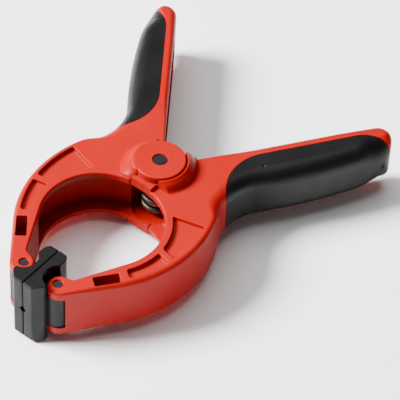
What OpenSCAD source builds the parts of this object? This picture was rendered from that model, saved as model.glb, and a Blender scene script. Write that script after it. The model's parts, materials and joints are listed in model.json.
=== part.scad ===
// Hand-operated spring clamp: two moulded arms on one pivot, a torsion spring that closes them,
// overmoulded grips and swivelling jaw pads. The pivot axis is Z and the clamp lies on its side.
// Both arms are the same moulding: arm_b is arm_a turned over about the clamp's long axis (X).

/* [Overall] */
// Distance from the pivot axis to the pad pins, along the clamp
jaw_reach = 106.2; // [96:0.2:130]
// Distance of a pad pin from the closing plane
pin_off = 12.6; // [11:0.2:16]
// Length of a handle from its foot at the hub
handle_l = 120; // [100:1:150]
// Angle between a handle's inner edge and the closing plane
handle_a = 35; // [32:1:42]
// Height of the arms
arm_h = 35.2; // [29:0.2:44]

/* [Jaw] */
// Radius of the round throat
throat_r = 34.2; // [28:0.2:42]
// Distance of the throat circle's centre from the closing plane
throat_y = 2.7; // [0:0.1:5]
// Distance from the hub's disc to the throat's edge
hub_gap = 3; // [2.2:0.1:7]
// Width of the jaw in plan, above the throat's centre
jaw_w = 17.7; // [15:0.1:22]
// Radius of the jaw's back
back_r = 74.6; // [62:0.2:90]
// How far the back's centre lies behind the throat's centre
back_dx = 14.3; // [8:0.1:20]
// Radius of the hollow between the jaw's back and the handle
fillet_r = 34; // [28:1:42]
// Radius of the ears that hold a pad pin
ear_r = 7.1; // [5.9:0.1:8.6]
// Thickness of an ear
ear_t = 5.4; // [4:0.1:7]
// Thickness of the skins above and below the jaw's channel
skin_t = 4.2; // [3.6:0.1:5]
// Depth of the jaw's channel, measured from the throat's edge
channel_d = 9; // [6:0.1:11]
// Width of the deep slot near the ear
slot_w = 6.4; // [5:0.1:7.5]
// Depth of that slot
slot_depth = 14; // [8:0.5:15]
// Radius about the pad pin within which the jaw is solid beside the fork and the slots
web_r = 38; // [36.5:0.5:42]
// Depth of the shallow pockets in the skins
pocket_d = 2.6; // [1.5:0.1:3]
// Width of the rim left around the pockets
rim_w = 3.8; // [3:0.1:5]

/* [Handle] */
// Width of the handle at its root
handle_w = 25; // [22:0.1:30]
// Width of the handle where its rounded end begins
handle_end_w = 20.2; // [17:0.1:24]
// Radius of the handle's rounded end
tip_r = 18.2; // [15:0.2:22]
// Thickness of the ribs in that channel
rib_t = 2; // [1.5:0.1:3]
// Width of the bare strip along the inner edge
strip_w = 5.4; // [4:0.1:7]
// Thickness of the grip
grip_t = 2.4; // [1.8:0.1:3]
// Radius of the grip's edge near the hub
grip_r = 30; // [24:0.5:36]

/* [Hub] */
// How far each hub face stands above the arms
hub_rise = 7.2; // [6:0.1:9]
// Radius of the hub's raised disc
disc_r = 15.5; // [13:0.1:16]
// Thickness of the raised disc
disc_t = 4.6; // [3.5:0.1:5.5]
// Thickness of the inner plate that lies under the other arm's disc
plate_t = 4.9; // [4:0.1:6]
// Width of the top of the lip around the other arm's disc
lip_w = 1.4; // [1:0.1:2]
// Radius of the pivot pin
pivot_r = 3.5; // [2.9:0.05:4.2]
// Radius of the pivot pin's head
head_r = 4.4; // [4.3:0.05:6]
// Thickness of the pivot pin's head
head_t = 1.6; // [1.2:0.1:2.4]
// How far the pivot pin's plain end stays below the hub's face
pin_sink = 0.5; // [0.3:0.1:0.7]
// Thickness of the clip that holds the pivot pin's plain end
clip_t = 0.7; // [0.5:0.1:1]

/* [Spring] */
// Diameter of the spring wire
wire_d = 4; // [3.2:0.1:4.8]
// Mean radius of the coil
coil_r = 9.4; // [8.6:0.1:10]
// Rise of the coil in one turn
coil_pitch = 6.2; // [5.2:0.1:6.8]
// Length of a spring leg inside its handle, from the handle's foot
leg_l = 30; // [22:1:38]
// Outside radius of the bush inside the coil
bush_r = 5.6; // [5:0.1:6.2]

/* [Pads] */
// Length of a pad along the clamp, ahead of its pin
pad_front = 15.9; // [13:0.1:19.5]
// Length of a pad behind its pin
pad_back = 15.8; // [14.8:0.1:19]
// How far a pad stands past the arm, above and below
pad_over = 5.4; // [3:0.1:8]
// Radius of the knuckle that turns on the pad pin
lug_r = 7.5; // [6:0.1:8.5]
// Depth of the crosswise groove in a pad's face
groove_d = 1.8; // [1:0.1:3]
// Radius of a pad pin
pad_pin_r = 2.5; // [2.1:0.05:3]

/* [Clearances] */
// Gap between faces of pieces that move past each other
gap = 0.3; // [0.2:0.05:0.4]
// Radial clearance of a running fit
run = 0.05; // [0.03:0.01:0.1]
// Half of the gap between the closed pads
shut = 0.15; // [0.12:0.01:0.2]

/* [Hidden] */
$fn = 96;
far = 300;
// Arcs stand proud of the straight edges they run into by this much, so that the faces cross cleanly
meet = 0.03;

red = [0.93, 0.16, 0.10];
dark_rubber = [0.10, 0.10, 0.11];
pad_grey = [0.17, 0.17, 0.20];
steel = [0.35, 0.36, 0.38];

function pol(r, a) = r * [cos(a), sin(a)];
function heading(v) = atan2(v[1], v[0]);
function ccw(v) = [-v[1], v[0]];

// Heights, measured from the mid-plane between the two hub faces
half_arm = arm_h / 2;
half_hub = half_arm + hub_rise;
disc_z = half_hub - disc_t;
plate_z = disc_z - gap;
cavity_z = plate_z - plate_t;
channel_z = half_arm - skin_t;
fork_z = half_arm - ear_t;
pad_z = half_arm + pad_over;

// Plan of an arm: the jaw
pin = [-jaw_reach, pin_off];
ear_shift = [-0.4, 1.2];
ear = pin + ear_shift;
throat = [-disc_r - hub_gap - throat_r, throat_y];
back = [throat[0] + back_dx, throat_y + throat_r + jaw_w - sqrt(back_r * back_r - back_dx * back_dx)];
neck = ear + [8.2, 3.4];
back_a = heading(ear - back) - acos((back_r - ear_r) / norm(ear - back));
neck_a = heading(neck - ear) - acos(ear_r / norm(neck - ear));
throat_a = heading(neck - throat) - acos(throat_r / norm(neck - throat));
back_edge = back + pol(back_r, back_a);
throat_edge = throat + pol(throat_r, throat_a);
fork_r = lug_r + 1.1;
// Lowest point of an arm's own skins beside the hub, on the throat side
cheek_y = 7.3;
// Throat-side ends of the disc's flank and of the lip
shelf_y = -cheek_y + 2 * gap;
cheek_x = disc_r + 2.1;
lip_x = disc_r - 2.3;

// Plan of an arm: the handle, in lengths along (u) and widths across (w) its inner edge
flare_r = disc_r + hub_rise;
foot_a = 31.8;
foot = pol(flare_r + 0.8, foot_a);
along = pol(1, handle_a);
function hp(u, w) = foot + u * along + w * ccw(along);
root_u = 22;
tip_w = handle_end_w - tip_r;
tip_u = handle_l - sqrt(tip_r * tip_r - tip_w * tip_w);
tip = hp(tip_u, tip_w);
root_edge = hp(root_u, handle_w);
edge_dir = pol(1, heading(tip - root_edge) + asin(tip_r / norm(tip - root_edge)));
q = root_edge + fillet_r * ccw(edge_dir) - back;
fillet_t = sqrt(pow(q * edge_dir, 2) - q * q + pow(back_r + fillet_r, 2)) - q * edge_dir;
fillet = q + back + fillet_t * edge_dir;

// The grip's edge in plan, the ribs, the rest of the hub
grip_u = 38;
grip_end_u = handle_l - 25;
grip_end_r = 28;
rib_u = [for (u = [44 : 15 : handle_l - 34]) u];
core_end = handle_l - 28;
// Radius of the handle's end, seen from its inner side
end_r = 1.25 * half_arm;
bore_r = disc_r + 0.9;
plate_r = bore_r - 0.4;
lip_r = disc_r + 0.7;
lip_z = half_hub - 0.5;
lip_a = 27;

// Coil of the spring: it runs from arm_b's leg up to arm_a's leg with the angle falling
coil_steps = 80;
coil_turn = 4 * 360 - 2 * (90 + handle_a);
coil_z = coil_pitch * coil_turn / 720;
leg_w = coil_r - foot * ccw(along);
leg_reach = foot * along + leg_l;
core_d = leg_w + wire_d / 2 + 0.1;

// Outline of an arm in plan, drawn in from its outer edges by inset
module arm_plan(inset) {
  difference() {
    intersection() {
      own_side();
      union() {
        jaw_plan(inset);
        handle_plan(inset);
        difference() {
          polygon([[0, 0], foot, hp(root_u + fillet_t, 0), fillet - fillet_r * ccw(edge_dir), fillet,
                   back + back_r * (fillet - back) / norm(fillet - back), back]);
          translate(fillet) circle(fillet_r + inset + meet);
        }
      }
    }
    translate(throat) circle(throat_r + meet);
  }
}

// The half of the plane on which an arm's own body lies
module own_side() {
  polygon([[0, 0], foot, foot + far * along, [0, far], [-far, far], [-far, cheek_y], [-cheek_y, cheek_y]]);
}

module jaw_plan(inset) {
  intersection() {
    translate(back) circle(back_r - inset + meet);
    polygon([throat, throat_edge, back + pol(back_r - rim_w, back_a + 3), back + pol(far, back_a + 3), [far, far], [far, throat[1]]]);
  }
  polygon([throat_edge, back_edge, ear + pol(ear_r, back_a), ear, ear + pol(ear_r, neck_a), neck]);
  translate(ear) circle(ear_r + meet);
}

module handle_plan(inset) {
  side = ccw(edge_dir);
  polygon([hp(0, 0), hp(tip_u, 0), tip, tip + (tip_r - inset) * side, root_edge - inset * side, hp(0, handle_w - inset)]);
  translate(tip) circle(tip_r - inset + meet);
}

// Plan of the space that the grip takes
module grip_plan() {
  translate(hp(grip_u, strip_w + grip_r)) circle(grip_r + meet);
  translate(hp(grip_end_u, strip_w + grip_end_r)) circle(grip_end_r + meet);
  polygon([hp(grip_u, strip_w), hp(grip_end_u, strip_w), hp(grip_end_u, 2 * handle_w), hp(grip_u, 2 * handle_w)]);
}

// Solid of an arm's outline, with the handle's end rounded off above and below
module arm_blank(inset) {
  difference() {
    linear_extrude(2 * (half_arm - inset), center = true) arm_plan(inset);
    translate(hp(handle_l - end_r, 0)) rotate([90, 0, handle_a]) difference() {
      translate([0, -far, -far]) cube(2 * far);
      cylinder(r = end_r - inset, h = 3 * far, center = true);
    }
  }
}

// Everything within the grip's plan that lies outside the arm's core
module grip_space() {
  difference() {
    linear_extrude(2 * arm_h, center = true) grip_plan();
    arm_blank(grip_t);
  }
}

module grip() {
  intersection() {
    arm_blank(0);
    grip_space();
  }
}

// One arm lying with its disc up, mid-plane at z = 0
module arm_moulding(pivot_hole_r) {
  difference() {
    union() {
      arm_body();
      hub_disc();
      hub_plate();
    }
    translate([0, 0, -far / 2]) cylinder(r = pivot_hole_r, h = far);
    translate([0, 0, half_hub - head_t]) cylinder(r = head_r + 0.1, h = far);
  }
}

module arm_body() {
  difference() {
    arm_blank(0);
    translate([0, 0, -cavity_z]) cylinder(r = bore_r, h = far);
    translate([0, 0, -far - plate_z]) cylinder(r = lip_r, h = far);
    jaw_channel();
    handle_channel();
    fork();
    for (side = [0, 1]) mirror([0, 0, side]) jaw_pockets();
    grip_space();
  }
}

// Channel on the throat side, open towards the work
module jaw_channel() {
  linear_extrude(2 * channel_z, center = true) difference() {
    translate(throat) circle(throat_r + channel_d);
    translate(pin) circle(web_r);
  }
}

// Channel on the handle's inner side, with the spring leg in its open end and ribs beyond that
module handle_channel() {
  linear_extrude(2 * channel_z, center = true) difference() {
    polygon([hp(-12, -5), hp(core_end, -5), hp(core_end, core_d), hp(-12, core_d)]);
    for (u = rib_u) polygon([hp(u, 1.5), hp(u + rib_t, 1.5), hp(u + rib_t, far), hp(u, far)]);
  }
}

// Slot for the pad's knuckle, the pin's holes and their sunk mouths
module fork() {
  translate(pin) {
    cylinder(r = fork_r, h = 2 * fork_z, center = true);
    cylinder(r = pad_pin_r, h = far, center = true);
    for (side = [0, 1]) mirror([0, 0, side]) translate([0, 0, half_arm - 1]) cylinder(r = pad_pin_r + 0.5, h = far);
  }
}

// Wedge about the back's centre, out to a radius
module back_sector(r, from_a, to_a) {
  translate(back) intersection() {
    circle(r);
    polygon([[0, 0], pol(far, from_a), pol(far, to_a)]);
  }
}

// Two shallow pockets and one deep slot on the upper skin
module jaw_pockets() {
  pocket_a = [[74.5, 99.3], [102.8, 123]];
  slot_a = [127.3, 140.8];
  for (a = pocket_a) translate([0, 0, half_arm - pocket_d]) linear_extrude(far) difference() {
    back_sector(back_r - rim_w, a[0], a[1]);
    translate(throat) circle(throat_r + rim_w + 0.8);
  }
  translate([0, 0, half_arm - slot_depth]) linear_extrude(far) intersection() {
    back_sector(back_r + rim_w, slot_a[0], slot_a[1]);
    translate((neck + ear + pol(ear_r, back_a)) / 2 - pol(0.6, back_a)) rotate(back_a) square([slot_w, far], center = true);
  }
}

// Raised disc over the other arm's plate, and the flank that joins it to the arm
module hub_disc() {
  translate([0, 0, disc_z]) cylinder(r = disc_r, h = disc_t);
  intersection() {
    rotate_extrude() polygon([[bore_r, half_arm - skin_t / 2], [flare_r, half_arm - skin_t / 2], [flare_r, half_arm],
                              [disc_r + 0.8, half_hub], [disc_r - 2, half_hub], [disc_r - 2, disc_z], [bore_r, disc_z]]);
    linear_extrude(far) hub_sector(foot_a, cheek_x, cheek_y);
  }
}

// Plate under the other arm's disc, with the lip that runs around that disc
module hub_plate() {
  translate([0, 0, -plate_z]) cylinder(r = plate_r, h = plate_t);
  translate([0, 0, -plate_z]) linear_extrude(plate_t) hub_shelf();
  intersection() {
    rotate_extrude() polygon([[plate_r - 1, -cavity_z], [flare_r, -cavity_z], [flare_r, -half_arm], [lip_r + lip_w, -lip_z],
                              [lip_r, -lip_z], [lip_r, -plate_z], [plate_r - 1, -plate_z]]);
    linear_extrude(2 * far, center = true) hub_sector(lip_a, lip_x, gap);
  }
}

// The plate's shelf between the hub and the throat
module hub_shelf() {
  difference() {
    polygon([[-far, shelf_y], [0, shelf_y], [0, cheek_y + 1], [-far, cheek_y + 1]]);
    for (side = [1, -1]) translate([throat[0], side * throat[1]]) circle(throat_r + 0.4);
    translate(throat) translate([-far, -far]) square([far, 2 * far]);
  }
}

module hub_sector(from_a, end_x, low_y) {
  polygon([pol(far, from_a), [0, far], [-end_x, far], [-end_x, low_y], [0, low_y]]);
}

// Pad for the upper arm in plan, measured from its pin
module pad_plan() {
  face = shut - pin_off;
  polygon([[-pad_front, face], [pad_back, face], [pad_back - 0.3, face + 5.9], [pad_back - 3.4, face + 7.9],
           [0, face + 7.9], [-pad_front + 4.9, face + 11.1], [-pad_front, face + 6.5]]);
  polygon([[-pad_front + 4.9, face + 11.1], [-1, face + 11.1], [0, face]]);
}

module pad() {
  difference() {
    union() {
      difference() {
        linear_extrude(2 * pad_z, center = true) pad_plan();
        cylinder(r = norm(ear_shift) + ear_r + 0.7, h = 3 * pad_z, center = true);
      }
      linear_extrude(2 * (fork_z - gap), center = true) {
        circle(lug_r);
        translate([-lug_r, shut - pin_off]) square([2 * lug_r, pin_off - shut]);
      }
    }
    cylinder(r = pad_pin_r + run, h = far, center = true);
    translate([0, shut - pin_off, 0]) rotate([45, 0, 0]) cube([far, sqrt(2) * groove_d, sqrt(2) * groove_d], center = true);
  }
}

// Wire swept along the leg, the coil and the other leg
module spring_wire() {
  sides = 10;
  leg_b = pol(coil_r, -90 - handle_a) + leg_reach * [along[0], -along[1]];
  leg_a = pol(coil_r, 90 + handle_a) + leg_reach * along;
  path = [[leg_b[0], leg_b[1], -coil_z],
          for (i = [0 : coil_steps]) let (f = i / coil_steps, p = pol(coil_r, -90 - handle_a - f * coil_turn))
            [p[0], p[1], (2 * f - 1) * coil_z],
          [leg_a[0], leg_a[1], coil_z]];
  last = len(path) - 1;
  function dir(i) = let (v = path[min(i + 1, last)] - path[max(i - 1, 0)]) v / norm(v);
  function across(i) = let (d = dir(i), h = norm([d[0], d[1]])) [d[1] / h, -d[0] / h, 0];
  rings = [for (i = [0 : last], k = [0 : sides - 1])
    let (a = 360 * k / sides, n = across(i)) path[i] + wire_d / 2 * (cos(a) * n + sin(a) * cross(dir(i), n))];
  walls = [for (i = [0 : last - 1], k = [0 : sides - 1]) let (m = (k + 1) % sides)
    each [[i * sides + k, (i + 1) * sides + k, (i + 1) * sides + m], [i * sides + k, (i + 1) * sides + m, i * sides + m]]];
  ends = [[for (k = [0 : sides - 1]) k], [for (k = [sides - 1 : -1 : 0]) last * sides + k]];
  polyhedron(rings, concat(walls, ends));
}

// Moves a piece drawn about the mid-plane to its place: side 0 is arm_a's, side 1 is turned over for arm_b
module place(side) {
  translate([0, 0, half_hub]) rotate([180 * side, 0, 0]) children();
}

module pad_pin() {
  translate([pin[0], pin[1], 0]) cylinder(r = pad_pin_r, h = arm_h - 1.4, center = true);
}

module arm_a() color(red) place(0) arm_moulding(pivot_r + run);
module arm_b() color(red) place(1) arm_moulding(pivot_r);
module grip_a() color(dark_rubber) place(0) grip();
module grip_b() color(dark_rubber) place(1) grip();
module pad_a() color(pad_grey) place(0) translate(pin) pad();
module pad_b() color(pad_grey) place(1) translate(pin) pad();
module pad_pin_a() color(steel) place(0) pad_pin();
module pad_pin_b() color(steel) place(1) pad_pin();

module pivot_pin() color(steel) {
  cylinder(r = pivot_r, h = 2 * half_hub - pin_sink);
  cylinder(r = head_r, h = head_t);
}

module pin_clip() color(steel) translate([0, 0, 2 * half_hub - head_t + 0.1]) difference() {
  cylinder(r = head_r, h = clip_t);
  translate([0, 0, -1]) cylinder(r = pivot_r, h = clip_t + 2);
}

module spring_bush() color(steel) translate([0, 0, half_hub]) difference() {
  cylinder(r = bush_r, h = 2 * (cavity_z - 0.1), center = true);
  cylinder(r = pivot_r, h = 3 * cavity_z, center = true);
}

module torsion_spring() color(steel) translate([0, 0, half_hub]) spring_wire();

arm_a();
arm_b();
grip_a();
grip_b();
pad_a();
pad_b();
pad_pin_a();
pad_pin_b();
pivot_pin();
pin_clip();
spring_bush();
torsion_spring();
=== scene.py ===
"""Spring clamp: two moulded arms, soft grips, swivelling pads, pins and a torsion spring."""

import json
import math

import bmesh
import bpy
import numpy as np
from mathutils import Matrix, Vector


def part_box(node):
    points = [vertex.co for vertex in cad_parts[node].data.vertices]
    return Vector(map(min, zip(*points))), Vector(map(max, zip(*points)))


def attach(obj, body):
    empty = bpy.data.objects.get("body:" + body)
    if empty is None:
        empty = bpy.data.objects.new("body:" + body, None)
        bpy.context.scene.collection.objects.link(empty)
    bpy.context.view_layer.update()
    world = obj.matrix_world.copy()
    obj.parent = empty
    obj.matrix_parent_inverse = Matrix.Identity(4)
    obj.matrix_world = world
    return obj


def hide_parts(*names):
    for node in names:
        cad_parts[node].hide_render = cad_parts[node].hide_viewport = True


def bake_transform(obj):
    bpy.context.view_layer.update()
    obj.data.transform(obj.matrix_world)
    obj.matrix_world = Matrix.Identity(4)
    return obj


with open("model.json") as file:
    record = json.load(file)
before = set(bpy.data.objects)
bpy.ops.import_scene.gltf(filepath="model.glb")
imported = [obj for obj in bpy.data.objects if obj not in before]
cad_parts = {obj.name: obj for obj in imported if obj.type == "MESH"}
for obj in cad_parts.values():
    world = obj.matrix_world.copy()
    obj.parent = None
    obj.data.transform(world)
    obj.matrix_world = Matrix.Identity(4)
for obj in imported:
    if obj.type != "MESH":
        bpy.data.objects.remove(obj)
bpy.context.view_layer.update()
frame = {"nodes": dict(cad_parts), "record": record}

# Places read from the frame, in millimetres
MM = 0.001
joints = {j["name"]: j for j in frame["record"]["behaviour"]["joints"]}
MID = joints["jaw_open"]["pos_m"][2] / MM
PIN = np.array(joints["pad_a_swivel"]["pos_m"][:2]) / MM
HALF_ARM = (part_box("grip_a")[1][2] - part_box("grip_a")[0][2]) / MM / 2
PAD_Z = (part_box("pad_a")[1][2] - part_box("pad_a")[0][2]) / MM / 2
HUB_RISE = MID - HALF_ARM

# Sizes of the moulding, in millimetres
DISC_R = 15.5
DISC_Z = MID - 4.6
PLATE_Z = DISC_Z - 0.3
CAVITY_Z = PLATE_Z - 4.9
BORE_R = DISC_R + 0.9
LIP_R = DISC_R + 0.7
FLARE_R = DISC_R + HUB_RISE
PIVOT_R = 3.5
MOUTH_R = 4.5
MOUTH_DEPTH = 1.6
CHEEK_Y = 7.3
CHEEK_A = 161
THROAT_R = 34.2
THROAT = np.array([-DISC_R - 3 - THROAT_R, 2.7])
BACK_R = 74.6
BACK_DX = 14.3
JAW_W = 17.7
BACK = np.array([THROAT[0] + BACK_DX, THROAT[1] + THROAT_R + JAW_W - math.sqrt(BACK_R**2 - BACK_DX**2)])
EAR = PIN + [-0.4, 1.2]
EAR_R = 7.1
NECK = EAR + [8.2, 3.4]
FILLET_R = 34
SKIN = 4.2
CHANNEL_D = 9
POCKET_D = 2.6
POCKET_ANGLES = ((74.5, 99.3), (102.8, 123))
FORK_R = 8.6
FORK_Z = HALF_ARM - 5.4
RIM = 3.8
WEB_R = 38
SLOT_DEPTH = 14
SLOT_HALF_W = 3.2
SLOT_ANGLES = (127.3, 140.8)
PIN_HOLE_R = 2.5
PIN_MOUTH_R = 3
HANDLE_A = 35
HANDLE_L = 120.5
HANDLE_W = 25
HANDLE_END_W = 20
ROOT_U = 22
TIP_R = 17.6
BOW = 2.2
CORNER_R = 8.5
STRIP_W = 5.6
GRIP_U = 38
GRIP_R = 30
GRIP_END_R = 26
GRIP_END_U = HANDLE_L - 25
GRIP_T = 2.4
COIL_R = 9.4
WIRE_R = 2
COIL_PITCH = 6.2
LEG_L = 30
RIB_T = 2
RIB_PITCH = 15
RIB_START = 44
GAP = 0.3
FAR = 200


def pol(r, degrees):
    """The point at distance r and that angle from the origin."""
    a = np.radians(degrees)
    return np.stack([r * np.cos(a), r * np.sin(a)], -1)


def heading(v):
    """Angle of a direction in plan, in degrees."""
    return math.degrees(math.atan2(v[1], v[0]))


def ccw(v):
    """The direction a quarter turn anticlockwise."""
    return np.array([-v[1], v[0]])


FOOT_A = 31.8
FOOT = pol(FLARE_R + 0.8, FOOT_A)
ALONG = pol(1, HANDLE_A)


def hp(u, w):
    """Point of the handle's plan: u along its inner edge from the foot, w across it."""
    u, w = np.asarray(u, float), np.asarray(w, float)
    return FOOT + np.multiply.outer(u, ALONG) + np.multiply.outer(w, ccw(ALONG))


def arc(centre, r, a0, a1, step=0.8):
    """Points on a circle from angle a0 to a1, about step apart."""
    n = max(3, int(abs(math.radians(a1 - a0)) * r / step) + 1)
    return np.asarray(centre) + pol(r, np.linspace(a0, a1, n))


def even_loop(columns, spacing):
    """The closed line through the rows, resampled at even lengths of its first two columns."""
    c = np.vstack([columns, columns[:1]])
    run = np.concatenate([[0], np.cumsum(np.linalg.norm(np.diff(c[:, :2], axis=0), axis=1))])
    n = int(run[-1] / spacing)
    at = np.linspace(0, run[-1], n, endpoint=False)
    return np.stack([np.interp(at, run, c[:, k]) for k in range(c.shape[1])], -1)


def averaged(loop, width, spacing):
    """Running mean round a closed loop, over that width."""
    n = max(1, int(width / spacing) | 1)
    return sum(np.roll(loop, k - n // 2, axis=0) for k in range(n)) / n


def softened(points, width=1.2, spacing=0.6):
    """A closed outline with its corners rounded by a running mean of that width."""
    return averaged(even_loop(np.asarray(points, float), spacing), width, spacing)


def outward(loop):
    """Unit normals of a closed outline that runs anticlockwise."""
    t = np.roll(loop, -1, axis=0) - np.roll(loop, 1, axis=0)
    t /= np.linalg.norm(t, axis=1)[:, None]
    return np.stack([t[:, 1], -t[:, 0]], -1)


def mesh_piece(name, verts, faces, material=None):
    """Puts points in millimetres and faces into a new object at the origin."""
    mesh = bpy.data.meshes.new(name)
    mesh.from_pydata((np.asarray(verts) * MM).tolist(), [], faces)
    mesh.update()
    obj = bpy.data.objects.new(name, mesh)
    bpy.context.scene.collection.objects.link(obj)
    if material:
        mesh.materials.append(material)
    return obj


def stacked(name, outline, rings, material=None):
    """Closed solid: the outline moved in along its normals for each (z, inset) ring, walls and flat ends."""
    n = len(outline)
    side = outward(outline)
    level = [
        np.column_stack([outline - side * np.reshape(i, (-1, 1)), np.full(n, z) if np.isscalar(z) else z])
        for z, i in rings
    ]
    k = np.arange(n)
    m = (k + 1) % n
    faces = []
    for r in range(len(rings) - 1):
        quads = np.stack([r * n + k, r * n + m, (r + 1) * n + m, (r + 1) * n + k], -1)
        faces += quads.tolist()
    faces.append(k[::-1].tolist())
    faces.append((k + (len(rings) - 1) * n).tolist())
    return mesh_piece(name, np.vstack(level), faces, material)


def block(name, outline, z0, z1, r0=0.0, r1=0.0, inward=None, steps=6, material=None):
    """Closed solid between z0 and z1, its lower edge rounded by r0 and its upper edge by r1.

    The rounding is a quarter ellipse where inward gives another width in plan.
    """
    a = np.linspace(math.pi / 2, 0, steps + 1)
    one = np.ones(len(outline))
    in0, in1 = (one * r0, one * r1) if inward is None else (inward, inward)
    rings = [(z0 + one * r0 * (1 - math.sin(t)), in0 * (1 - math.cos(t))) for t in a]
    rings += [(z1 - one * r1 * (1 - math.sin(t)), in1 * (1 - math.cos(t))) for t in a[::-1]]
    if np.all(np.asarray(r0) == 0):
        rings = rings[steps:]
    if np.all(np.asarray(r1) == 0):
        rings = rings[:len(rings) - steps]
    return stacked(name, outline, rings, material)


def mouth(name, outline, floor, top, soft, floor_soft=0.6):
    """Cutter for a pocket: its floor's edge is rounded, its mouth a quarter round of radius soft."""
    a = np.linspace(0, math.pi / 2, 5)
    rings = [(floor + floor_soft * (1 - math.sin(t)), floor_soft * (1 - math.cos(t))) for t in a[::-1]]
    rings += [(top - soft * (1 - math.sin(t)), -soft * (1 - math.cos(t))) for t in a]
    rings += [(top + 6, -soft)]
    return stacked(name, outline, rings)


def turned(name, profile, segments=160, material=None):
    """Solid of revolution about the pivot axis: a closed (r, z) line carried round it, poles merged.

    A line that begins and ends on the axis gets no faces along the axis.
    """
    p = np.asarray(profile, float)
    n = len(p)
    a = np.linspace(0, 2 * math.pi, segments, endpoint=False)
    x, y = np.outer(np.cos(a), p[:, 0]), np.outer(np.sin(a), p[:, 0])
    verts = np.stack([x, y, np.tile(p[:, 1], (segments, 1))], -1)
    rows = n - 1 if p[0, 0] == p[-1, 0] == 0 else n
    i, k = np.meshgrid(np.arange(segments), np.arange(rows), indexing="ij")
    nxt, m = (i + 1) % segments, (k + 1) % n
    quads = np.stack([i * n + k, nxt * n + k, nxt * n + m, i * n + m], -1).reshape(-1, 4)
    obj = mesh_piece(name, verts.reshape(-1, 3), quads.tolist(), material)
    tidy(obj)
    return obj


def ball(name, centre, r, material=None):
    """A small ball about a point, for dimples and nubs."""
    a = np.linspace(-math.pi / 2, math.pi / 2, 13)
    profile = np.stack([r * np.cos(a), r * np.sin(a)], -1)
    profile[[0, -1], 0] = 0
    obj = turned(name, profile, 24, material)
    obj.data.transform(Matrix.Translation(Vector(centre) * MM))
    return obj


def tube(name, path, radius, sides=20, material=None):
    """A round wire: a circle carried along the path, its frame turned with the path's heading in plan."""
    t = np.gradient(path, axis=0)
    t /= np.linalg.norm(t, axis=1)[:, None]
    flat = np.stack([t[:, 1], -t[:, 0], np.zeros(len(t))], -1)
    flat /= np.linalg.norm(flat, axis=1)[:, None]
    up = np.cross(t, flat)
    a = np.linspace(0, 2 * math.pi, sides, endpoint=False)
    r = np.full(len(path), radius)
    ring = np.cos(a)[None, :, None] * flat[:, None] + np.sin(a)[None, :, None] * up[:, None]
    verts = path[:, None] + r[:, None, None] * ring
    i, k = np.meshgrid(np.arange(len(path) - 1), np.arange(sides), indexing="ij")
    m = (k + 1) % sides
    here, ahead = i * sides, (i + 1) * sides
    quads = np.stack([here + k, ahead + k, ahead + m, here + m], -1).reshape(-1, 4)
    last = (len(path) - 1) * sides
    faces = quads.tolist() + [list(range(sides)), [last + s for s in range(sides)][::-1]]
    obj = mesh_piece(name, verts.reshape(-1, 3), faces, material)
    tidy(obj)
    return obj


def tidy(obj):
    """Merges doubled points and turns every face outwards."""
    bm = bmesh.new()
    bm.from_mesh(obj.data)
    bmesh.ops.remove_doubles(bm, verts=bm.verts, dist=1e-7)
    bmesh.ops.dissolve_degenerate(bm, dist=1e-7, edges=bm.edges)
    bmesh.ops.recalc_face_normals(bm, faces=bm.faces)
    bm.to_mesh(obj.data)
    bm.free()


def volume(mesh):
    """Volume in cubic millimetres, or None where the surface isn't closed."""
    bm = bmesh.new()
    bm.from_mesh(mesh)
    closed = all(e.is_manifold for e in bm.edges)
    amount = bm.calc_volume(signed=True) / MM**3
    bm.free()
    return amount if closed else None


NUDGES = 12
NUDGE = Vector((0.61, -0.47, 0.53)) * 0.004


def combined(base, *steps):
    """Joins ("UNION"), cuts ("DIFFERENCE") or keeps what is shared ("INTERSECT") with each tool in turn.

    Where faces lie too close for a sound result, the tool is moved by a few microns and tried again.
    """
    for operation, tools in steps:
        for tool in tools if isinstance(tools, list) else [tools]:
            old, size = volume(base.data), volume(tool.data)
            low, high = {
                "UNION": (old, old + size),
                "DIFFERENCE": (old - size, old),
                "INTERSECT": (0, min(old, size)),
            }[operation]
            m = base.modifiers.new(tool.name, "BOOLEAN")
            m.operation, m.solver, m.object = operation, "EXACT", tool
            for attempt in range(NUDGES):
                tool.location = NUDGE * (attempt * MM)
                graph = bpy.context.evaluated_depsgraph_get()
                done = bpy.data.meshes.new_from_object(base.evaluated_get(graph))
                new = volume(done)
                if new is not None and low - 1 < new < high + 1:
                    break
            else:
                print("unsound", base.name, operation, tool.name, old, size, new)
            base.modifiers.clear()
            base.data = done
            bpy.data.objects.remove(tool)
    return base


def copied(obj, name):
    """Copy of a piece with a mesh of its own."""
    twin = obj.copy()
    twin.data = obj.data.copy()
    twin.name = name
    bpy.context.scene.collection.objects.link(twin)
    return twin


def mirrored(tool):
    """Copy of a cutter on the arm's other face."""
    under = copied(tool, tool.name + "_under")
    under.data.transform(Matrix.Scale(-1, 4, (0, 0, 1)))
    tidy(under)
    return under


def turned_over(obj, name):
    """Copy turned half a turn about the clamp's long axis, which makes an arm_b piece of an arm_a piece."""
    twin = copied(obj, name)
    twin.data.transform(Matrix.Rotation(math.pi, 4, "X"))
    return twin


def placed(obj):
    """Lifts a piece drawn about the mid-plane to its height."""
    obj.data.transform(Matrix.Translation((0, 0, MID * MM)))
    obj.data.update()


def smooth(obj, angle=32):
    """Smooth shading, with edges sharper than the angle kept sharp."""
    obj.data.shade_smooth()
    obj.data.set_sharp_from_angle(angle=math.radians(angle))
    m = obj.modifiers.new("even_normals", "WEIGHTED_NORMAL")
    m.keep_sharp = True


# ---- materials -------------------------------------------------------------------------------


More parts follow.
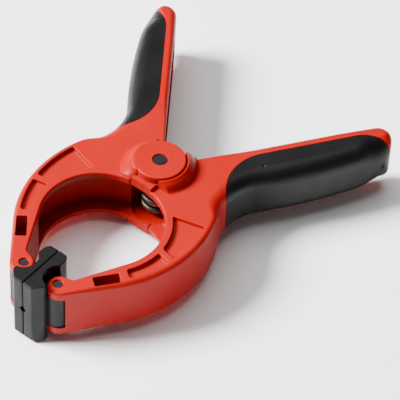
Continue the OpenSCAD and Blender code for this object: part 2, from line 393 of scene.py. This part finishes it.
def finish(name, colour, roughness, grain, grain_depth, blotch=0.06, specular=0.5, metallic=0.0, streak=None):
    """A finish with two scales of colour change, uneven gloss and a fine surface grain.

    The grain is noise at the given scale per metre, and streak stretches it for drawn or turned steel.
    """
    mat = bpy.data.materials.new(name)
    mat.use_nodes = True
    nodes, links = mat.node_tree.nodes, mat.node_tree.links
    nodes.clear()
    out = nodes.new("ShaderNodeOutputMaterial")
    shader = nodes.new("ShaderNodeBsdfPrincipled")
    links.new(shader.outputs[0], out.inputs[0])
    shader.inputs["Metallic"].default_value = metallic
    shader.inputs["Specular IOR Level"].default_value = specular
    where = nodes.new("ShaderNodeTexCoord")
    mapping = nodes.new("ShaderNodeMapping")
    mapping.inputs["Scale"].default_value = streak or (1, 1, 1)
    links.new(where.outputs["Object"], mapping.inputs["Vector"])

    def noise(scale, detail):
        n = nodes.new("ShaderNodeTexNoise")
        n.inputs["Scale"].default_value = scale
        n.inputs["Detail"].default_value = detail
        links.new(mapping.outputs[0], n.inputs["Vector"])
        return n.outputs["Fac"]

    def ramp(source, low, high):
        r = nodes.new("ShaderNodeMapRange")
        r.inputs["From Min"].default_value, r.inputs["From Max"].default_value = 0.3, 0.7
        r.inputs["To Min"].default_value, r.inputs["To Max"].default_value = low, high
        links.new(source, r.inputs["Value"])
        return r.outputs["Result"]

    cloud = noise(38, 3)
    fleck = noise(900, 2)
    mix = nodes.new("ShaderNodeMix")
    mix.data_type = "RGBA"
    mix.inputs["A"].default_value = (*[c * (1 - blotch) for c in colour], 1)
    mix.inputs["B"].default_value = (*[min(1, c * (1 + blotch) + 0.002) for c in colour], 1)
    links.new(ramp(cloud, 0, 1), mix.inputs["Factor"])
    speck = nodes.new("ShaderNodeMix")
    speck.data_type = "RGBA"
    speck.blend_type = "MULTIPLY"
    speck.inputs["Factor"].default_value = 1
    tone = nodes.new("ShaderNodeCombineColor")
    shade = ramp(fleck, 1 - blotch, 1)
    for k in range(3):
        links.new(shade, tone.inputs[k])
    links.new(mix.outputs["Result"], speck.inputs["A"])
    links.new(tone.outputs[0], speck.inputs["B"])
    links.new(speck.outputs["Result"], shader.inputs["Base Color"])
    links.new(ramp(noise(120, 4), roughness - 0.05, roughness + 0.05), shader.inputs["Roughness"])
    bump = nodes.new("ShaderNodeBump")
    bump.inputs["Strength"].default_value = 1
    bump.inputs["Distance"].default_value = grain_depth
    links.new(noise(grain, 3), bump.inputs["Height"])
    links.new(bump.outputs[0], shader.inputs["Normal"])
    return mat


RED = finish("red_plastic", (0.29, 0.0018, 0.0003), 0.42, 2600, 0.00003, blotch=0.03, specular=0.12)
RUBBER = finish("black_rubber", (0.0014, 0.0014, 0.0018), 0.42, 3200, 0.00006, blotch=0.1, specular=0.2)
PAD = finish("pad_plastic", (0.0028, 0.0026, 0.0034), 0.46, 2400, 0.00006, blotch=0.08, specular=0.14)
STEEL = finish(
    "pin_steel", (0.035, 0.034, 0.038), 0.45, 1500, 0.00002, blotch=0.12, metallic=1, streak=(1, 1, 0.15)
)
WIRE = finish(
    "spring_steel", (0.10, 0.07, 0.055), 0.42, 1200, 0.00003, blotch=0.15, metallic=1, streak=(1, 1, 2.5)
)

# ---- the arm's plan ---------------------------------------------------------------------------

tip_w = HANDLE_END_W - TIP_R
tip_u = HANDLE_L - math.sqrt(TIP_R**2 - tip_w**2)
TIP = hp(tip_u, tip_w)
root_edge = hp(ROOT_U, HANDLE_W)
edge_a = heading(TIP - root_edge) + math.degrees(math.asin(TIP_R / np.linalg.norm(TIP - root_edge)))
edge_dir = pol(1, edge_a)
q = root_edge + FILLET_R * ccw(edge_dir) - BACK
fillet_t = math.sqrt((q @ edge_dir) ** 2 - q @ q + (BACK_R + FILLET_R) ** 2) - q @ edge_dir
FILLET = q + BACK + fillet_t * edge_dir
back_a = heading(EAR - BACK) - math.degrees(math.acos((BACK_R - EAR_R) / np.linalg.norm(EAR - BACK)))
neck_a = heading(NECK - EAR) - math.degrees(math.acos(EAR_R / np.linalg.norm(NECK - EAR)))
throat_a = heading(NECK - THROAT) - math.degrees(math.acos(THROAT_R / np.linalg.norm(NECK - THROAT)))
hub_a = math.degrees(math.asin((CHEEK_Y - THROAT[1]) / THROAT_R))

# The tip's inner corner: an arc that touches the inner edge and the tip's own arc
corner_u = tip_u + math.sqrt((TIP_R - CORNER_R) ** 2 - (CORNER_R - tip_w) ** 2)
CORNER = hp(corner_u, CORNER_R)
corner_end = heading(CORNER - TIP)


def tagged(points, edge_r):
    """Outline points with the radius of the rounded edge along them."""
    p = np.atleast_2d(points)
    return np.column_stack([p, np.full(len(p), edge_r)])


def bowed_edge():
    """The handle's outer edge from the tip to the hollow: a straight line bowed outwards by a parabola."""
    start = TIP + TIP_R * ccw(edge_dir)
    end = FILLET - FILLET_R * ccw(edge_dir)
    t = np.linspace(0, 1, 40)[1:-1, None]
    return start + (end - start) * t + ccw(edge_dir) * BOW * 4 * t * (1 - t)


def arm_outline():
    """The arm's plan, anticlockwise, with the height and the width of the rounded edge at each point.

    The width stays under the plan's own radius on outward bends, so that rings never cross.
    """
    stretches = [
        tagged([(0, 0), FOOT], 0.8),
        tagged(hp(np.array([6, 14]), np.zeros(2)), 1.4),
        tagged(hp(np.array([30, 60, 90]), np.zeros(3)), 3.2),
        tagged(arc(CORNER, CORNER_R, HANDLE_A - 90, corner_end), 4.6),
        tagged(arc(TIP, TIP_R, corner_end, edge_a + 90), 16),
        tagged(bowed_edge(), 10),
        tagged(arc(FILLET, FILLET_R, edge_a - 90, heading(BACK - FILLET)), 9),
        tagged(arc(BACK, BACK_R, heading(FILLET - BACK), back_a), 3.4),
        tagged(arc(EAR, EAR_R, back_a, neck_a + 360), 1.4),
        tagged([NECK], 1.4),
        tagged(arc(THROAT, THROAT_R, throat_a, hub_a), 1.3),
        tagged([(-CHEEK_Y, CHEEK_Y)], 0.8),
    ]
    spacing = 0.7
    loop = even_loop(np.vstack(stretches), spacing)
    plan = averaged(loop[:, :2], 2.1, spacing)
    radius = averaged(averaged(loop[:, 2:], 9, spacing), 9, spacing)[:, 0]
    t = np.roll(plan, -3, axis=0) - np.roll(plan, 3, axis=0)
    turn = np.unwrap(np.arctan2(t[:, 1], t[:, 0]))
    bend = (np.roll(turn, -3) - np.roll(turn, 3) + math.pi) % (2 * math.pi) - math.pi
    bend = averaged(np.maximum(bend / (6 * spacing), 0.02)[:, None], 4, spacing)[:, 0]
    width = averaged(np.minimum(radius, 0.8 / bend)[:, None], 4, spacing)[:, 0]
    return plan, radius, np.minimum(width, np.where(np.linalg.norm(plan, axis=1) < FLARE_R + 1, 0.5, FAR))


outline, edge_r, edge_in = arm_outline()


# ---- tools that shape an arm ------------------------------------------------------------------


def disc_cutter(name, centre, r, z0, z1, soft0=0.0, soft1=0.0):
    """A round block about a centre in plan."""
    return block(name, arc(centre, r, 0, 360)[:-1], z0, z1, soft0, soft1)


def sector(name, from_a, end_x, low_y, z0, z1):
    """Block over the arm's own part of the hub, from angle from_a round to x = -end_x, corners softened."""
    outline = [pol(FAR, from_a), (0, FAR), (-end_x, FAR), (-end_x, low_y), (0, low_y)]
    return block(name, softened(outline, 2.2, 0.7), z0, z1)


def flank():
    """Raised disc's flank: from the disc's rim a hollow curve runs down and out to the arm.

    Its width falls to nothing at angle CHEEK_A as the root of the angle left, which rounds the cheek's end.
    """
    t = np.linspace(0, 1, 14)
    out, down = (FLARE_R + 0.3 - LIP_R) * t**1.5, (HUB_RISE - 1.1) * t**0.8
    slope = np.stack([LIP_R + 1 + out, MID - 1.3 - down], -1)
    rim = [(DISC_R - 2, MID), (DISC_R - 0.6, MID), (DISC_R + 0.5, MID - 0.15), (LIP_R + 0.45, MID - 0.6)]
    under = [(FLARE_R + 1.3, HALF_ARM - 3), (BORE_R - 0.4, HALF_ARM - 3),
             (BORE_R - 0.4, DISC_Z + 0.3), (DISC_R - 2, DISC_Z + 0.3)]
    ring = turned("flank", rim + slope.tolist() + under)
    v = np.array([p.co[:] for p in ring.data.vertices]) / MM
    r, a = np.hypot(v[:, 0], v[:, 1]), np.degrees(np.arctan2(v[:, 1], v[:, 0])) % 360
    share = np.sqrt(np.clip((CHEEK_A - a) / 15, 0.003, 1))
    kept = np.where(r > DISC_R, DISC_R + (r - DISC_R) * share, r) / r
    v[:, :2] *= kept[:, None]
    ring.data.vertices.foreach_set("co", (v * MM).ravel())
    ring.data.update()
    return ring


def lip():
    """Wall round the other arm's disc: a narrow rounded land, then a flank down and out to the arm."""
    slope = np.array([(1.9, 1.6), (2.7, 2.2), (3.5, 3.1), (4.1, 4.1),
                      (4.6, 5.1), (5.1, 6), (5.8, 6.8), (6.9, 7.4)])
    slope = np.column_stack([LIP_R + slope[:, 0], slope[:, 1] - MID])
    land = [(LIP_R, -(MID - 1.1)), (LIP_R + 0.25, -(MID - 0.65)), (LIP_R + 0.8, -(MID - 0.5)),
            (LIP_R + 1.25, -(MID - 0.7))]
    under = [(LIP_R + 6.9, 3 - HALF_ARM), (BORE_R + 0.4, 3 - HALF_ARM), (BORE_R + 0.4, 0.7 - CAVITY_Z),
             (DISC_R - 1, 0.7 - CAVITY_Z), (DISC_R - 1, 0.4 - PLATE_Z), (LIP_R, 0.4 - PLATE_Z)]
    return turned("lip", land + slope.tolist() + under)


def pocket_outline(a0, a1, corner=3.2):
    """Plan of a shallow pocket between the back's rim and the throat's, from angle a0 to a1 about BACK."""
    a = np.radians(np.linspace(a0, a1, 60))
    ray = np.stack([np.cos(a), np.sin(a)], -1)
    off = THROAT - BACK
    along = ray @ off
    inner = along + np.sqrt(along**2 - off @ off + (THROAT_R + RIM + 0.8) ** 2)
    outer = np.full(60, BACK_R - RIM)
    loop = np.vstack([BACK + ray * outer[:, None], (BACK + ray * inner[:, None])[::-1]])
    return softened(loop, corner, 0.4)


def slot_outline():
    """Plan of the deep slot near the ear: a rounded oblong along the jaw."""
    middle = (NECK + EAR + pol(EAR_R, back_a)) / 2 - pol(0.6, back_a)
    side = pol(1, back_a)
    near, far = [(BACK + pol(BACK_R - 10, a) - middle) @ ccw(side) for a in SLOT_ANGLES]
    half = SLOT_HALF_W
    plan = ((half, near), (half, far), (-half, far), (-half, near))
    corners = [middle + side * w + ccw(side) * u for w, u in plan]
    return softened(corners, 1.6, 0.3)


def grip_outline(shrink):
    """Plan of the grip's edge: two arcs that meet a line along the bare strip, closed outside the arm."""
    start = arc(hp(GRIP_U, STRIP_W + GRIP_R), GRIP_R, HANDLE_A - 190, HANDLE_A - 90)
    end = arc(hp(GRIP_END_U, STRIP_W + GRIP_END_R), GRIP_END_R, HANDLE_A - 90, HANDLE_A + 10)
    outline = np.vstack([start, end, hp([150, -10], [60, 60])])
    outline = averaged(even_loop(outline, 0.8), 2, 0.8)
    return outline - shrink * outward(outline)


PIVOT = (0, 0)
TOP = HALF_ARM + 12

body = block("arm_a_moulding", outline, -HALF_ARM, HALF_ARM, edge_r, edge_r, edge_in, steps=8, material=RED)
core_r = np.maximum(edge_r - GRIP_T, 0.6)
core_depth = GRIP_T * np.clip((np.linalg.norm(outline, axis=1) - FLARE_R) / 8, 0, 1)[:, None]
core = block("core", outline - outward(outline) * core_depth, -HALF_ARM + GRIP_T, HALF_ARM - GRIP_T,
             core_r, core_r, np.where(core_depth[:, 0] > 1, np.maximum(edge_in - GRIP_T, 0.6), 0.2), steps=8)

grip = copied(body, "grip_a_skin")
grip.data.materials.clear()
grip.data.materials.append(RUBBER)
nub_k = np.argmin(np.linalg.norm(outline - hp(HANDLE_L - 9, HANDLE_END_W), axis=1))
nub_side = outward(outline)[nub_k]
grip = combined(
    grip,
    ("INTERSECT", block("room", grip_outline(0.3), -TOP, TOP)),
    ("DIFFERENCE", copied(core, "core_copy")),
    ("DIFFERENCE", [ball("dimple", (*(outline[nub_k] + 0.9 * nub_side), 0), 1.9),
                    ball("gate_mark", (*hp(GRIP_U - 2, 15.5), -HALF_ARM - 0.5), 1.1)]),
    ("UNION", ball("nub", (*(outline[nub_k] - 0.7 * nub_side), 0), 0.9)),
)

room = combined(block("room", grip_outline(0), -TOP, TOP), ("DIFFERENCE", core))

flank_part = combined(flank(), ("INTERSECT", sector("own", FOOT_A, DISC_R + 2.6, CHEEK_Y - 2, 0, TOP)))
lip_part = combined(lip(), ("INTERSECT", sector("own", 27, DISC_R - 2.3, 0.3, -TOP, 0)))
HOLE_R = PIVOT_R + 0.05
disc_rim = [(HOLE_R, DISC_Z), (DISC_R - 0.3, DISC_Z), (DISC_R, DISC_Z + 0.3), (DISC_R, MID - 0.9),
            (DISC_R - 0.15, MID - 0.45), (DISC_R - 0.5, MID - 0.12), (DISC_R - 1, MID)]
disc_mouth = [(MOUTH_R + 0.6, MID), (MOUTH_R + 0.18, MID - 0.18), (MOUTH_R, MID - 0.6),
              (MOUTH_R, MID - MOUTH_DEPTH + 0.3), (MOUTH_R - 0.3, MID - MOUTH_DEPTH),
              (HOLE_R, MID - MOUTH_DEPTH)]
disc = turned("disc", disc_rim + disc_mouth)
plate_r = LIP_R + 0.06
plate_top = 1 - CAVITY_Z
plate = turned("plate", [(HOLE_R, -PLATE_Z), (plate_r, -PLATE_Z), (plate_r, plate_top), (HOLE_R, plate_top)])
shelf_plan = [(-30, -CHEEK_Y + 0.7), (0, -CHEEK_Y + 0.7), (0, CHEEK_Y + 1), (-30, CHEEK_Y + 1)]
throats = [disc_cutter("throat", THROAT * [1, side], THROAT_R + GAP, -TOP, TOP) for side in (1, -1)]
shelf = block("shelf", softened(shelf_plan, 2, 0.4), 0.06 - PLATE_Z, 1.4 - CAVITY_Z, 0.25, 0.25)
shelf = combined(shelf, ("DIFFERENCE", throats))

channel_z = HALF_ARM - SKIN
channel = combined(disc_cutter("channel", THROAT, THROAT_R + CHANNEL_D, -channel_z, channel_z, 1.2, 1.2),
                   ("DIFFERENCE", disc_cutter("web", PIN, WEB_R, -TOP, TOP)))
core_d = COIL_R - FOOT @ ccw(ALONG) + WIRE_R + 0.1
rib_u = np.arange(RIB_START, HANDLE_L - 34, RIB_PITCH)
ends = np.concatenate([[-12], rib_u + RIB_T]), np.concatenate([rib_u, [HANDLE_L - 28]])
wells = []
for u0, u1 in zip(*ends):
    well_plan = softened(hp([u0, u1, u1, u0], [-8, -8, core_d, core_d]), 3.2, 0.4)
    wells.append(block("well", well_plan, -channel_z, channel_z, 0.5, 0.5))
well_plan = softened(hp([-12, HANDLE_L - 29, HANDLE_L - 29, -12], [-8.3, -8.3, 1.5, 1.5]), 3.2, 0.4)
wells.append(block("well", well_plan, 0.1 - channel_z, channel_z - 0.1, 0.5, 0.5))

pin_ring = arc(PIN, PIN_MOUTH_R, 0, 360, 0.3)[:-1]
pin_mouth = mouth("pin_mouth", pin_ring, HALF_ARM - 1, HALF_ARM, 0.4, 0.2)
fork = [
    disc_cutter("fork", PIN, FORK_R, -FORK_Z, FORK_Z, 0.8, 0.8),
    disc_cutter("pin_hole", PIN, PIN_HOLE_R, -TOP, TOP),
    pin_mouth,
    mirrored(pin_mouth),
]
floor_z = HALF_ARM - POCKET_D
pockets = [mouth("pocket", pocket_outline(*a), floor_z, HALF_ARM, 0.5, 0.5) for a in POCKET_ANGLES]
pockets.append(mouth("slot", slot_outline(), HALF_ARM - SLOT_DEPTH, HALF_ARM, 0.5, 0.2))
pockets += [mirrored(tool) for tool in pockets]

arm = combined(
    body,
    ("DIFFERENCE", [room] + pockets + [channel] + wells + fork),
    ("DIFFERENCE", disc_cutter("pivot_room", PIVOT, PIVOT_R + 2, -TOP, TOP)),
    ("UNION", [flank_part, lip_part, disc, plate, shelf]),
    ("DIFFERENCE", disc_cutter("bore", PIVOT, BORE_R, -CAVITY_Z, DISC_Z - 0.1)),
)
arm_b = turned_over(arm, "arm_b_moulding")
grip_b = turned_over(grip, "grip_b_skin")
for piece, node in ((arm, "arm_a"), (arm_b, "arm_b"), (grip, "grip_a"), (grip_b, "grip_b")):
    placed(piece)
    smooth(piece)
    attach(piece, "arm_" + node[-1] + "_body")
    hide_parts(node)

# ---- the spring -------------------------------------------------------------------------------

turn = 4 * 360 - 2 * (90 + HANDLE_A)
coil_z = COIL_PITCH * turn / 720
f = np.linspace(0, 1, 420)
coil = np.column_stack([pol(COIL_R, -90 - HANDLE_A - f * turn), (2 * f - 1) * coil_z])
reach = FOOT @ ALONG + LEG_L
away = np.linspace(1, 0, 40)[:-1, None]
leg_b = coil[0] + away * reach * np.array([ALONG[0], -ALONG[1], 0])
leg_a = coil[-1] + away[::-1] * reach * np.array([*ALONG, 0])
spring = tube("torsion_spring_wire", np.vstack([leg_b, coil, leg_a]), WIRE_R, material=WIRE)
placed(spring)
smooth(spring, 60)
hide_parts("torsion_spring")
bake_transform(spring)

# ---- the jaw pads -----------------------------------------------------------------------------

FACE = 0.15 - PIN[1]
PAD_FRONT = 15.9
PAD_BACK = 15.8
KNUCKLE_R = 7.5
GROOVE_D = 2.4
pad_plan = [(-PAD_FRONT, FACE), (PAD_BACK, FACE), (PAD_BACK - 0.3, FACE + 5.9), (PAD_BACK - 3.4, FACE + 7.9),
            (0, FACE + 7.9), (-1, FACE + 11.1), (-PAD_FRONT + 4.9, FACE + 11.1), (-PAD_FRONT, FACE + 6.5)]
pad = block("pad_a_block", PIN + softened(pad_plan, 2.1, 0.3), -PAD_Z, PAD_Z, 0.7, 0.7, steps=4, material=PAD)
clear_r = np.linalg.norm(EAR - PIN) + EAR_R + 0.35
knuckle_z = FORK_Z - GAP
clear = [disc_cutter("clear", PIN, clear_r, z0, z1) for z0, z1 in ((knuckle_z, TOP), (-TOP, -knuckle_z))]
knuckle_foot = PIN + [[-KNUCKLE_R, FACE + 0.4], [KNUCKLE_R, FACE + 0.4]]
knuckle_plan = np.vstack([arc(PIN, KNUCKLE_R, 0, 180), knuckle_foot])
knuckle = block("knuckle", softened(knuckle_plan, 1.6, 0.4), -knuckle_z, knuckle_z, 0.3, 0.3)
groove_plan = np.array([(-GROOVE_D, 0), (0, -GROOVE_D), (GROOVE_D, 0), (0, GROOVE_D)])
groove_verts = [(x, PIN[1] + FACE + a, b) for x in (-FAR, FAR) for a, b in groove_plan]
groove_sides = [(k, k + 4, (k + 1) % 4 + 4, (k + 1) % 4) for k in range(4)]
groove = mesh_piece("groove", groove_verts, [(0, 1, 2, 3), (7, 6, 5, 4)] + groove_sides)
tidy(groove)
pin_bore = disc_cutter("pin_bore", PIN, PIN_HOLE_R + 0.05, -TOP, TOP)
pad = combined(pad, ("DIFFERENCE", clear), ("UNION", knuckle), ("DIFFERENCE", [groove, pin_bore]))
pad_b = turned_over(pad, "pad_b_block")
for piece, side in ((pad, "a"), (pad_b, "b")):
    placed(piece)
    smooth(piece)
    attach(piece, "pad_" + side + "_body")
    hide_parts("pad_" + side)

# ---- pins, clip and bush keep the frame's shape ----------------------------------------------

for node in ("pad_pin_a", "pad_pin_b", "pivot_pin", "pin_clip", "spring_bush"):
    metal = frame["nodes"][node]
    metal.data.materials.clear()
    metal.data.materials.append(PAD if node == "spring_bush" else STEEL)

# ---- floor, light and camera ------------------------------------------------------------------


def stage_floor():
    """A plain pale floor just under the object."""
    bpy.ops.mesh.primitive_plane_add(size=12, location=(0, 0, -0.0001))
    floor = bpy.context.object
    floor.name = "floor"
    mat = bpy.data.materials.new("floor_paper")
    mat.use_nodes = True
    shader = mat.node_tree.nodes["Principled BSDF"]
    shader.inputs["Base Color"].default_value = (0.96, 0.96, 0.96, 1)
    shader.inputs["Roughness"].default_value = 0.9
    shader.inputs["Specular IOR Level"].default_value = 0.1
    floor.data.materials.append(mat)


def soft_light(name, place, size, power, colour=(1, 1, 1)):
    """A round soft light aimed at the middle of the scene."""
    light = bpy.data.lights.new(name, "AREA")
    light.shape = "DISK"
    light.size = size
    light.energy = power
    light.color = colour
    obj = bpy.data.objects.new(name, light)
    obj.location = place
    obj.rotation_euler = (-Vector(place)).to_track_quat("-Z", "Y").to_euler()
    bpy.context.scene.collection.objects.link(obj)


def camera():
    """A long lens set above the pads, a little rolled."""
    azimuth, elevation, roll = math.radians(-54.02), math.radians(47.26), 0.055069
    target, distance = np.array([-5.086, -33.96, 42.52]), 1444.9
    flat = math.cos(elevation)
    back = np.array([math.sin(azimuth) * flat, -math.cos(azimuth) * flat, math.sin(elevation)])
    right = np.cross(-back, [0, 0, 1])
    right /= np.linalg.norm(right)
    up = np.cross(right, -back)
    turned_right = math.cos(roll) * right + math.sin(roll) * up
    turned_up = -math.sin(roll) * right + math.cos(roll) * up
    cam = bpy.data.cameras.new("camera")
    cam.lens, cam.sensor_width = 225, 36
    cam.clip_end = 20
    obj = bpy.data.objects.new("camera", cam)
    place = (target + back * distance) * MM
    turn = np.stack([turned_right, turned_up, back], -1)
    obj.matrix_world = Matrix([[*row, p] for row, p in zip(turn, place)] + [[0, 0, 0, 1]])
    bpy.context.scene.collection.objects.link(obj)
    bpy.context.scene.camera = obj


stage_floor()
camera()
soft_light("key", (-0.95, 1.45, 1.6), 1.0, 300)
soft_light("overhead", (0.3, 0.5, 2.4), 2.5, 44)
world = bpy.data.worlds.new("room_light")
world.use_nodes = True
world.node_tree.nodes["Background"].inputs["Color"].default_value = (1, 1, 1, 1)
world.node_tree.nodes["Background"].inputs["Strength"].default_value = 0.13
bpy.context.scene.world = world
